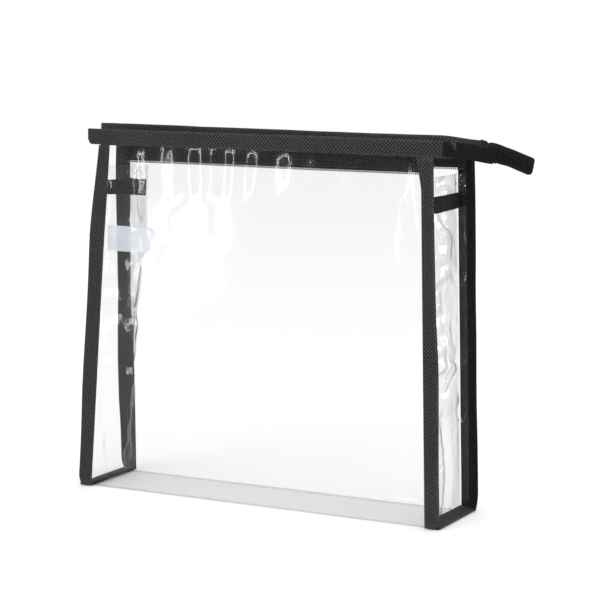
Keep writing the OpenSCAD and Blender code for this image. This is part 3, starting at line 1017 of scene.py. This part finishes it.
@dataclass
class SideBindings:
    """The fabric bindings that stand out past both side seams, their feet and their stitches."""

    shape: BagShape
    wardrobe: Wardrobe
    wide: float = 0.010
    leaf: float = 0.0005
    stitch_in: float = 0.0022
    pitch: float = 0.0032
    inner: float = 0.0009
    outer: float = -0.00035
    corner_h: float = 0.007
    leg_flat: float = 0.0206
    foot_flat: float = 0.0195

    def build(self) -> None:
        """Makes both ends' legs, feet and seams."""
        for end in End:
            for face in Face:
                self.leg(end, face)
            self.foot(end)

    def ripple(self, end: End, face: Face, z: Array, out: Array) -> tuple[Array, Array]:
        """Waves of the free edge, more the further out.

        Args:
            end: Which end of the bag.
            face: Which wall.
            z: Heights.
            out: Distance past the seam.

        Returns:
            The waves across and away from the wall.
        """
        seed = 130 + 3 * end.value + 7 * face.value
        loose = np.clip(out / self.wide, 0, 1) ** 1.5
        return (
            loose * wander(z / 0.045, 1.5, seed) * 0.0005,
            loose * wander(z / 0.035, 4.5, seed + 1) * 0.0009,
        )

    def leg(self, end: End, face: Face) -> None:
        """One leg folded round the seam's margins."""
        s = self.shape
        low, high = 0.0006, s.wall_h - 0.0004
        cut = LEG_CUTS[(end, face)]
        edge = self.wide - self.leaf / 2
        path = [
            (0.0009, self.inner),
            (edge - 0.0008, self.inner),
            (edge - 0.0002, 0.0007),
            (edge, 0.0003),
            (edge - 0.0002, -0.0001),
            (edge - 0.0008, self.outer),
            (0.0, self.outer),
        ]

        def shaped(out: Array, depth: Array, z: Array) -> Array:
            """Turns a place on the section into a place on the bag."""
            start, far = np.interp(z, cut.heights, cut.inner), edge + np.interp(z, cut.heights, cut.outer)
            corner = np.clip((self.corner_h - z) / self.corner_h, 0, 1) ** 1.4 * cut.corner
            grown = np.minimum(start + out * (far - start) / edge, far - corner)
            depth = depth - cut.lean * np.clip(grown / edge, 0, 1.2) * smooth(0.0, 0.012, z)
            dx, dy = self.ripple(end, face, z, grown)
            seam = s.seam(end, z)
            x = seam + end.value * (grown + dx)
            y = face.value * (s.half(x, z) - depth + dy)
            return np.stack([x, y, z], axis=1)

        def place(u: Array, v: Array) -> Array:
            """Follows the section round and the seam up."""
            out, depth = along(path, u)
            return shaped(out, depth, low + v * (high - low))

        flat = (self.leg_flat, high - low)
        piece = laid_sheet(f"{end.name.lower()}_{face.name.lower()}_binding", 26, 110, flat, place, self.leaf)
        # The rear leg at the right end is in shade, so it takes the darker copy of the binding fabric: painted shade.
        painted_shade = face is Face.REAR and end is End.RIGHT
        self.wardrobe.dress(piece, "Binding fabric deep" if painted_shade else "Binding fabric", Slot.BINDING)
        if face is Face.FRONT:
            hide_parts(f"{end.name.lower()}_binding")
        s.sway(piece, face)

        z = np.linspace(0.009, 0.229, 200)
        skin = self.outer - self.leaf / 2 - 0.00002
        line = shaped(np.full_like(z, self.stitch_in), np.full_like(z, skin), z)
        thread = repeated(
            f"{end.name.lower()}_{face.name.lower()}_stitches",
            bead(STITCH),
            seam_places(line, (0, face.value, 0), self.pitch),
        )
        self.wardrobe.dress(thread, "Sewing thread", Slot.BINDING)
        s.sway(thread, face)

    def foot(self, end: End) -> None:
        """The foot that lies across the floor, its inner edge a little raised."""
        s = self.shape
        span = 2 * (s.half_d - 0.0006)
        edge = self.wide - 0.0002
        path = [
            (0.0, 0.0031),
            (0.004, 0.0027),
            (edge - 0.0012, 0.0016),
            (edge - 0.0003, 0.0012),
            (edge, 0.0008),
            (edge - 0.0004, 0.0004),
            (edge - 0.0012, 0.0003),
            (0.001, 0.0003),
        ]

        def place(u: Array, v: Array) -> Array:
            """Over the top from the raised edge, round the fold and back underneath."""
            out, z = along(path, u)
            y = (v - 0.5) * span
            lift = np.where(u < 0.45, 1.0, 0.0) * np.clip(1 - out / edge, 0, 1)
            z = z + lift * wander(y / 0.016, 2.5, 150 + end.value) * 0.0005
            x = s.seam(end, z * 0) + end.value * (out + 0.0003 * wander(y / 0.02, 0.5, 160 + end.value))
            return np.stack([x, y, z], axis=1)

        flat = (self.foot_flat, span)
        piece = laid_sheet(f"{end.name.lower()}_foot_binding", 24, 40, flat, place, self.leaf)
        self.wardrobe.dress(piece, "Binding fabric", Slot.BINDING)
        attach(piece, "root")


@dataclass(frozen=True)
class RimLie:
    """How one rim binding lies: where it begins, how much its left end lifts, and how much its right end droops."""

    begin: float
    lift: float
    droop: float


RIM_LIES: dict[Face, RimLie] = {
    Face.FRONT: RimLie(begin=-0.1333, lift=0.0, droop=0.0003),
    Face.REAR: RimLie(begin=-0.1386, lift=0.0024, droop=0.0026),
}


@dataclass
class Mouth:
    """The rim bindings, the bridges past the right side, and the tail."""

    shape: BagShape
    wardrobe: Wardrobe
    leaf: float = 0.0005
    rim_h: float = 0.0105
    rim_t: float = 0.0026
    rim_past: float = 0.0034
    rim_corner: float = 0.0035
    rim_flat: float = 0.0214
    bridge_t: float = 0.002
    bridge_early: float = 0.0026
    bridge_flat: float = 0.0212
    apex: tuple[float, float] = (0.1565, 0.003)
    drop: float = 0.0042
    last_drop: float = 0.0007
    tail_x: float = 0.1540
    tail_top: float = 0.2404
    tail_run: float = 0.0306
    tail_h: float = 0.0112
    tail_t: float = 0.0044
    tail_flat: float = 0.0236
    tail_slopes: tuple[float, float] = (math.radians(7), math.radians(19.5))
    tail_roll: float = math.radians(27)
    seam_up: float = 0.0017
    pitch: float = 0.0032

    def build(self) -> None:
        """Makes both rims, both bridges and the tail."""
        for face in Face:
            self.rim(face)
            self.bridge(face)
        self.tail()

    def rim(self, face: Face) -> None:
        """One folded rim binding with its two seams."""
        s = self.shape
        lie = RIM_LIES[face]
        begin = lie.begin
        span = s.rim_end - begin + self.rim_past
        path = fold_path(0.0, 0.0004, self.rim_h - self.leaf / 2, self.rim_t - self.leaf)
        seed = 210 + face.value

        def shaped(x: Array, across: Array, up: Array) -> Array:
            """Turns a place on the section into a place along the rim."""
            left, right = x - begin, s.rim_end - x
            pinch = 1 - 0.55 * (1 - smooth(0, 0.004, left)) - 0.04 * (1 - smooth(0, 0.003, right))
            cut = np.clip(1 - left / self.rim_corner, 0, 1)
            up = np.maximum(up, 0.0034 * (1 - np.sqrt(np.maximum(0, 1 - cut**2))))
            puff = np.sin(np.clip(up / self.rim_h, 0, 1) * math.pi)
            puff = puff * (0.00025 + 0.00015 * wander(x / 0.02, 0.5, seed + 3))
            groove = 0.00022 * np.exp(-(((up - self.seam_up) / 0.0006) ** 2))
            across = (across + np.sign(across) * (puff - groove)) * pinch
            sag = wander(x / 0.06, 2.5, seed) * 0.00035 + wander(x / 0.02, 6.5, seed + 1) * 0.00015
            weave_y = wander(x / 0.05, 4.5, seed + 2) * 0.0003
            shear = (up / self.rim_h) * 0.0012 * (1 - smooth(0, 0.01, right))
            turned = 1.15 * np.maximum(0, 0.0012 - right)
            y = s.mouth_half(x) - across + weave_y - turned
            z = s.wall_h + up + sag
            z = z + lie.lift * (1 - smooth(0, 0.24, left)) - lie.droop * (1 - smooth(0, 0.03, right))
            return np.stack([x + shear, face.value * y, z], axis=1)

        def place(u: Array, v: Array) -> Array:
            """Up the outer leaf, over the fold and down the inner leaf."""
            across, up = along(path, u)
            return shaped(begin + v * span, across, up)

        flat = (self.rim_flat, span)
        piece = laid_sheet(f"{face.name.lower()}_rim_band", 30, 170, flat, place, self.leaf)
        self.wardrobe.dress(piece, "Binding fabric", Slot.BINDING)
        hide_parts(f"{face.name.lower()}_rim_binding")
        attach(piece, face.rim)

        x = np.linspace(begin + 0.004, s.rim_end - 0.002, 220)
        places: list[Matrix] = []
        for side in (-1, 1):
            across = np.full_like(x, side * (self.rim_t / 2 + 0.00002))
            line = shaped(x, across, np.full_like(x, self.seam_up))
            places += seam_places(line, (0, -side * face.value, 0), self.pitch)
        thread = repeated(f"{face.name.lower()}_rim_stitches", bead(STITCH), places)
        self.wardrobe.dress(thread, "Sewing thread", Slot.BINDING)
        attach(thread, face.rim)

    def bridge(self, face: Face) -> None:
        """The band from a rim's end to the tail, with its stitches."""
        s = self.shape
        begin = np.array([s.rim_end, s.half_d])
        way = np.array(self.apex) - begin
        run = float(np.linalg.norm(way))
        way = way / run
        normal = np.array([way[1], -way[0]])
        early, early_dip = self.bridge_early, RIM_LIES[face].droop
        path = fold_path(0.0, 0.0003, self.rim_h - self.leaf / 2, self.bridge_t - self.leaf)
        seed = 240 + face.value

        def shaped(t: Array, across: Array, up: Array) -> Array:
            """Turns a place on the section into a place along the bridge."""
            share = np.clip(t / run, -0.1, 1)
            dip = early_dip + (self.drop - early_dip) * share + 0.00025 * wander(t / 0.012, 0.5, seed)
            dip = dip + self.last_drop * smooth(0.6 * run, run, t)
            narrow = 1 - 0.25 * smooth(0.75 * run, run, t)
            spot = begin[None, :] + t[:, None] * way[None, :] - (across * narrow)[:, None] * normal[None, :]
            z = s.wall_h + 0.0001 + up * (1 - 0.05 * t / run) - dip
            return np.stack([spot[:, 0], face.value * spot[:, 1], z], axis=1)

        def place(u: Array, v: Array) -> Array:
            """Over the fold, from the rim's end to the tail."""
            across, up = along(path, u)
            return shaped(v * (run + early) - early, across, up)

        flat = (self.bridge_flat, run + early)
        piece = laid_sheet(f"{face.name.lower()}_bridge_band", 26, 40, flat, place, self.leaf)
        # The bridge faces away from the light; the darker copy of the binding fabric paints that shade.
        self.wardrobe.dress(piece, "Binding fabric deep", Slot.BINDING)
        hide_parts(f"{face.name.lower()}_bridge_binding", f"{face.name.lower()}_bridge_tape")
        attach(piece, face.bridge)

        t = np.linspace(0.001, run - 0.003, 40)
        line = shaped(t, np.full_like(t, -self.bridge_t / 2), np.full_like(t, self.seam_up))
        places = seam_places(line, Vector((normal[0], face.value * normal[1], 0)), self.pitch)
        thread = repeated(f"{face.name.lower()}_bridge_stitches", bead(STITCH), places)
        self.wardrobe.dress(thread, "Sewing thread", Slot.BINDING)
        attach(thread, face.bridge)

    def tail(self) -> None:
        """The drooping tail: a band folded over both tapes, with the closed coils inside."""
        total = self.tail_run
        path = fold_path(0.0, 0.0004, self.tail_h - self.leaf / 2, self.tail_t - self.leaf)

        def slope_at(t: Array) -> Array:
            """How steeply the tail droops: gently at first, and then more."""
            first, last = self.tail_slopes
            return first + (last - first) * smooth(0.0, 0.008, t)

        def spine(t: Array) -> tuple[Array, Array]:
            """Middle of the fold along the tail."""
            fine = np.linspace(0, total, 200)
            angle = slope_at(fine)
            xs = self.tail_x + np.concatenate([[0], np.cumsum(np.cos(angle[:-1]) * np.diff(fine))])
            zs = self.tail_top - np.concatenate([[0], np.cumsum(np.sin(angle[:-1]) * np.diff(fine))])
            return np.interp(t, fine, xs), np.interp(t, fine, zs)

        def shaped(t: Array, across: Array, up: Array) -> Array:
            """Turns a place on the section into a place along the tail."""
            (x, z), slope, rolled = spine(t), slope_at(t), smooth(0.003, 0.016, t)
            below = self.tail_h - up
            wide = 1 + 1.6 * (1 - smooth(0, 0.007, t)) - 0.8 * smooth(total - 0.0016, total, t)
            puff = 0.0003 * np.sin(np.clip(up / self.tail_h, 0, 1) * math.pi)
            puff = puff + 0.0002 * drift(t / 0.008, up / 0.004, 271)
            wave = 0.0003 * wander(t / 0.014, 1.5, 272)
            roll = self.tail_roll * rolled
            side = across * wide + np.sign(across) * puff
            side, below = side * np.cos(roll) + below * np.sin(roll) * 0.8, below * np.cos(roll) - side * np.sin(roll)
            y = side + wave - 0.0012 * rolled
            return np.stack([x - below * np.sin(slope), y, z - below * np.cos(slope)], axis=1)

        def place(u: Array, v: Array) -> Array:
            """Over the fold, from the bridges to the free end."""
            across, up = along(path, u)
            return shaped(v * total, across, up)

        flat = (self.tail_flat, total)
        piece = laid_sheet("tail_band", 30, 44, flat, place, self.leaf)
        # The tail's sides are in shade; the darker copy of the binding fabric paints it.
        self.wardrobe.dress(piece, "Binding fabric deep", Slot.BINDING)
        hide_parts("tail_binding")
        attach(piece, "tail")

        places: list[Matrix] = []
        t = np.linspace(0.006, total - 0.0015, 60)
        for side in (-1, 1):
            line = shaped(t, np.full_like(t, side * self.tail_t / 2), np.full_like(t, 0.0016))
            places += seam_places(line, (0, side, 0), self.pitch)
        thread = repeated("tail_stitches", bead(STITCH), places)
        self.wardrobe.dress(thread, "Sewing thread", Slot.BINDING)
        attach(thread, "tail")

        def tape_place(u: Array, v: Array) -> Array:
            """The two tapes, back to back inside the tail."""
            t = 0.0008 + v * (total - 0.003)
            return shaped(t, 0.0002 * np.sin(t * 900), 0.0012 + u * 0.0058)

        tape = laid_sheet("tail_tape", 12, 30, (0.011, total - 0.003), tape_place, 0.0011)
        self.wardrobe.dress(tape, "Zip tape weave", Slot.TAPE)
        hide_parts("tail_chain")
        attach(tape, "tail")

        t = np.linspace(0.0006, total - 0.003, 60)
        line = shaped(t, np.zeros_like(t), np.full_like(t, 0.0072))
        teeth = repeated("tail_coil", bead(TAIL_TOOTH, 6, 5), seam_places(line, (0, 0, 1), 0.0013))
        self.wardrobe.dress(teeth, "Coil plastic", Slot.COIL)
        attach(teeth, "tail")


@dataclass
class Zip:
    """The two hanging tapes with their coils, the end tab and stop, and the slider with its puller."""

    shape: BagShape
    wardrobe: Wardrobe
    hinge_out: float = 0.0019
    top: float = 0.2322
    bottom: float = 0.2221
    coil_r: float = 0.0007
    first: float = -0.1035
    last: float = 0.1270
    tooth: float = 0.00135
    plate_top: float = 0.2317 - 0.0010
    plate_t: float = 0.0006

    def build(self) -> None:
        """Makes the tapes, tab and slider base, and dresses the metal."""
        for face in Face:
            self.tape(face)
        self.tab()
        self.slider_base()
        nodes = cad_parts
        self.wardrobe.dress(nodes["slider_body"], "Slider enamel")
        self.wardrobe.dress(nodes["slider_crown"], "Slider enamel")
        self.wardrobe.dress(nodes["puller"], "Slider enamel")
        self.wardrobe.dress(nodes["zip_end_stop"], "Dull metal")

    def tape(self, face: Face) -> None:
        """One tape that hangs from its hinge line, with teeth along its lower edge."""
        s = self.shape
        tall, span = self.top - self.bottom, self.last - self.first
        seed = 300 + face.value

        def shaped(x: Array, z: Array, out: float = 0.0) -> Array:
            """A place on the tape, a distance out towards the wall."""
            down = (self.top - z) / tall
            wave = 0.0002 * down * drift(x / 0.025, down * 1.5, seed)
            y = s.mouth_half(x) - self.hinge_out + wave + out
            droop = 0.0003 * down * wander(x / 0.05, 3.5, seed + 1)
            return np.stack([x, face.value * y, z + droop], axis=1)

        def place(u: Array, v: Array) -> Array:
            """Across the tape and along the rim."""
            return shaped(self.first + v * span, self.top - u * tall)

        piece = laid_sheet(f"{face.name.lower()}_tape_weave", 16, 150, (tall, span), place, 0.0005)
        self.wardrobe.dress(piece, "Zip tape weave", Slot.TAPE)
        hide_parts(f"{face.name.lower()}_zip_tape")
        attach(piece, face.tape)

        x = np.linspace(self.first + 0.0004, self.last - 0.0004, 200)
        line = shaped(x, np.full_like(x, self.bottom - self.coil_r))
        teeth = repeated(
            f"{face.name.lower()}_coil_teeth",
            bead(TOOTH, 8, 6),
            seam_places(line, (0, 0, 1), self.tooth),
        )
        self.wardrobe.dress(teeth, "Coil plastic", Slot.COIL)
        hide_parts(f"{face.name.lower()}_coil")
        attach(teeth, face.tape)

        places: list[Matrix] = []
        for side in (-1, 1):
            line = shaped(x, np.full_like(x, self.bottom + 0.0016), side * 0.00028)
            places += seam_places(line, (0, side * face.value, 0), 0.0027)
        thread = repeated(f"{face.name.lower()}_tape_stitches", bead(TAPE_STITCH, 6, 5), places)
        self.wardrobe.dress(thread, "Sewing thread", Slot.TAPE)
        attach(thread, face.tape)

    def tab(self) -> None:
        """The sewn tab that joins the tapes' left ends."""
        low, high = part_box("zip_end_tab")
        span, wide = high[0] - low[0], high[1] - low[1]

        def place(u: Array, v: Array) -> Array:
            """Flat between the rims, with a slight sag near each of them."""
            x, y = low[0] + u * span, low[1] + v * wide
            sag = 0.0007 * np.sin(math.pi * v) * (0.4 + 0.6 * u)
            sag = sag * smooth(0.25, 0.5, np.abs(v - 0.5))
            z = (low[2] + high[2]) / 2 - sag + 0.0001 * drift(x / 0.004, y / 0.004, 333)
            return np.stack([x, y, z], axis=1)

        piece = laid_sheet("end_tab", 20, 34, (span, wide), place, 0.0005)
        self.wardrobe.dress(piece, "Zip tape weave", Slot.TAPE)
        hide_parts("zip_end_tab")
        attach(piece, "root")
        y = np.linspace(low[1] + 0.001, high[1] - 0.001, 30)
        places: list[Matrix] = []
        for x in (low[0] + 0.0015, high[0] - 0.0012):
            line = np.stack([np.full_like(y, x), y, np.full_like(y, high[2] + 0.00005)], axis=1)
            places += seam_places(line, (0, 0, 1), 0.0024)
        thread = repeated("end_tab_stitches", bead(TAB_STITCH, 6, 5), places)
        self.wardrobe.dress(thread, "Sewing thread", Slot.TAPE)
        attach(thread, "root")

    def slider_base(self) -> None:
        """The slider's plate under the coils and the wedge that joins it to the plate above."""
        low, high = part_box("slider_body")
        middle = (low[0] + high[0]) / 2
        clear_hands()
        bpy.ops.mesh.primitive_cube_add(size=1, location=(middle, 0, self.plate_top - self.plate_t / 2))
        plate = bpy.context.object
        plate.name = "slider_base"
        plate.scale = (high[0] - low[0], high[1] - low[1], self.plate_t)
        settle(plate)
        take(plate)
        bpy.ops.object.mode_set(mode="EDIT")
        bpy.ops.mesh.select_all(action="DESELECT")
        bpy.ops.object.mode_set(mode="OBJECT")
        for edge in plate.data.edges:
            a, b = (plate.data.vertices[i].co for i in edge.vertices)
            edge.select = abs(a.z - b.z) > 0.0004 and a.x < middle
        bpy.ops.object.mode_set(mode="EDIT")
        bpy.ops.mesh.select_mode(type="EDGE")
        bpy.ops.mesh.bevel(offset=0.0026, segments=8)
        bpy.ops.object.mode_set(mode="OBJECT")
        modify(plate, "BEVEL", width=0.00018, segments=2, limit_method="ANGLE")
        clear_hands()
        bpy.ops.mesh.primitive_cylinder_add(
            vertices=28, radius=0.0009, depth=0.0021, location=(low[0] + 0.0013, 0, self.plate_top + 0.0010)
        )
        post = bpy.context.object
        settle(post)
        modify(post, "BEVEL", width=0.0001, segments=2, limit_method="ANGLE")
        take(plate)
        post.select_set(True)
        bpy.ops.object.join()
        bpy.ops.object.shade_smooth_by_angle(angle=math.radians(35))
        self.wardrobe.dress(plate, "Slider enamel", Slot.PAINT)
        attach(plate, "slider")


@dataclass
class StrapsAndLabel:
    """The stay strap across each end, and the blank label in the left seam."""

    shape: BagShape
    wardrobe: Wardrobe
    low: float = 0.1970
    high: float = 0.2065
    left_lift: float = 0.0017
    inset: float = 0.0019
    rear_past: float = 0.0028

    def build(self) -> None:
        """Makes both straps and the label."""
        self.left_strap()
        for face in Face:
            self.right_strap(face)
        self.label()

    def left_strap(self) -> None:
        """The left strap, which follows the fold of its side panel."""
        s = self.shape
        tall, width = self.high - self.low, 2 * s.half_d - 0.003

        def place(u: Array, v: Array) -> Array:
            """Across the side behind the panel, folded in the middle."""
            z = self.low + self.left_lift + v * tall
            x0 = s.left(z) - 0.0016
            reach = (u - 0.5) * 2
            inside = np.abs(reach)
            depth = (s.fold_in(z) - 0.0002) * (1 - np.sqrt(inside**2 + 0.0006) * 0.9996 + 0.0006)
            y = np.sign(reach) * inside * (s.half(x0, z) - self.inset)
            dip = 0.0008 * (1 - inside) * np.cos(v * 2) + 0.0004 * drift(u * 5, v * 1.5, 401)
            return np.stack([x0 + depth, y, z - dip], axis=1)

        piece = laid_sheet("left_strap", 48, 12, (width, tall), place, 0.0006)
        # The darker copy of the binding fabric: painted shade on the strap.
        self.wardrobe.dress(piece, "Binding fabric deep", Slot.BINDING)
        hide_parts("left_stay_strap")
        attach(piece, "root")

    def right_strap(self, face: Face) -> None:
        """Half of the right strap, from its seam to the middle of the side."""
        s = self.shape
        tall, width = self.high - self.low, s.half_d - 0.0016
        past = self.rear_past if face is Face.REAR else 0.0

        def place(u: Array, v: Array) -> Array:
            """Across the side outside the panel, bowed a little."""
            z = self.low + v * tall
            x = s.right(z) + 0.0013 + 0.0014 * (1 - u**2)
            y = face.value * u * (s.half(x, z) - self.inset + past)
            dip = 0.0009 * (1 - u**2) * np.cos(v * 1.5) + 0.0003 * drift(face.value * u * 3 + 9, v * 1.5, 402)
            return np.stack([x, y, z - dip], axis=1)

        piece = laid_sheet(f"right_strap_{face.name.lower()}", 26, 12, (width, tall), place, 0.0006)
        # The right side faces away from the light; the darker copy of the binding fabric paints that shade.
        self.wardrobe.dress(piece, "Binding fabric deep", Slot.BINDING)
        if face is Face.FRONT:
            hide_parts("right_stay_strap")
        s.side_sway(piece, face)

    def label(self) -> None:
        """The blank label, with its free end rounded."""
        s = self.shape
        low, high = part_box("care_label")
        tall, span = high[2] - low[2], high[0] - low[0]

        def place(u: Array, v: Array) -> Array:
            """Hangs just behind the front wall from the left seam."""
            edge = np.clip((np.abs(v - 0.5) * 2 - 0.45) / 0.55, 0, 1)
            cut = 0.005 * (1 - np.sqrt(np.maximum(0, 1 - edge**2)))
            x = low[0] + u * (span - cut)
            z = low[2] + v * tall
            y = -s.half(x, z) + 0.0016 + 0.0005 * drift(x / 0.018, z / 0.02, 410) * u
            return np.stack([x, y, z], axis=1)

        piece = laid_sheet("blank_label", 44, 22, (span, tall), place, 0.00025)
        self.wardrobe.dress(piece, "Blank label film", Slot.LABEL)
        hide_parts("care_label")
        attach(piece, "root")


@dataclass(frozen=True)
class Softbox:
    """One soft area light, or a bright window that only shows in reflections."""

    name: str
    place: tuple[float, float, float]
    size: tuple[float, float]
    power: float
    mirrored_only: bool = False

    def hang(self, target: tuple[float, float, float]) -> None:
        """Adds the light, turned to a target."""
        lamp = bpy.data.lights.new(self.name, "AREA")
        lamp.shape = "RECTANGLE"
        lamp.size, lamp.size_y = self.size
        lamp.energy = self.power
        holder = bpy.data.objects.new(self.name, lamp)
        bpy.context.collection.objects.link(holder)
        holder.visible_diffuse = not self.mirrored_only
        holder.location = self.place
        holder.rotation_euler = (Vector(target) - Vector(self.place)).to_track_quat("-Z", "Y").to_euler()


@dataclass
class Studio:
    """Floor, soft lights and camera, under a sky that shows dimmer in reflections."""

    wardrobe: Wardrobe
    target: tuple[float, float, float] = (0.021546, 0.0, 0.134176)
    yaw: float = 0.487081
    pitch: float = 0.138102
    distance: float = 1.30233
    lens: float = 120.0
    sky: float = 1.12
    mirrored_sky: float = 0.25
    lights: tuple[Softbox, ...] = (
        Softbox("Key", (-0.5, -1.0, 1.7), (0.9, 0.7), 3.5),
        Softbox("Window left", (-1.35, -1.75, 0.1), (0.06, 1.0), 3.5),
        Softbox("Window front", (-0.85, -2.05, 0.1), (0.03, 1.0), 1.8),
        Softbox("Window right", (1.75, -1.15, 0.1), (0.75, 1.1), 15.0, mirrored_only=True),
        Softbox("Window back", (0.95, 1.75, 0.0), (0.12, 0.9), 3.0),
        Softbox("Top", (0.1, 0.1, 1.8), (1.2, 0.8), 3.5),
    )

    def build(self) -> None:
        """Sets the stage."""
        clear_hands()
        bpy.ops.mesh.primitive_circle_add(vertices=96, radius=30, fill_type="NGON", location=(0, 0, 0))
        floor = bpy.context.object
        floor.name = "studio_floor"
        settle(floor)
        self.wardrobe.dress(floor, "Studio floor")
        world = bpy.data.worlds.new("Studio")
        world.use_nodes = True
        b = NodeBench(world.node_tree)
        ray = b.add("ShaderNodeLightPath")
        strength = b.ramp(ray.outputs["Is Glossy Ray"], 0.0, 1.0, (self.sky, self.mirrored_sky))
        light = b.add("ShaderNodeBackground", {"Color": (1.0, 1.0, 1.0, 1.0), "Strength": strength})
        b.add("ShaderNodeOutputWorld", {"Surface": light.outputs[0]})
        bpy.context.scene.world = world
        for lamp in self.lights:
            lamp.hang(self.target)
        self.camera()
        scene = bpy.context.scene
        scene.view_settings.view_transform = "Standard"
        scene.cycles.transparent_max_bounces = 64
        scene.cycles.max_bounces = 10
        scene.cycles.use_denoising = True

    def camera(self) -> None:
        """Places the camera at its angle, with no depth of field."""
        lens = bpy.data.cameras.new("Camera")
        lens.lens, lens.sensor_width = self.lens, 36.0
        lens.clip_end = 100.0
        lens.dof.use_dof = False
        holder = bpy.data.objects.new("Camera", lens)
        bpy.context.collection.objects.link(holder)
        flat = self.distance * math.cos(self.pitch)
        spot = Vector(self.target) + Vector(
            (flat * math.sin(self.yaw), -flat * math.cos(self.yaw), self.distance * math.sin(self.pitch))
        )
        holder.location = spot
        holder.rotation_euler = (Vector(self.target) - spot).to_track_quat("-Z", "Y").to_euler()
        bpy.context.scene.camera = holder


def main() -> None:
    """Builds the bag, part by part, and the studio round it."""
    logging.basicConfig(level=logging.INFO, format="%(message)s")
    wardrobe, shape = Wardrobe(), BagShape()
    for part in (
        FilmBody(shape, wardrobe),
        SideBindings(shape, wardrobe),
        StrapsAndLabel(shape, wardrobe),
        Mouth(shape, wardrobe),
        Zip(shape, wardrobe),
        Studio(wardrobe),
    ):
        LOG.info("building %s", type(part).__name__)
        part.build()


if __name__ == "__main__":
    main()
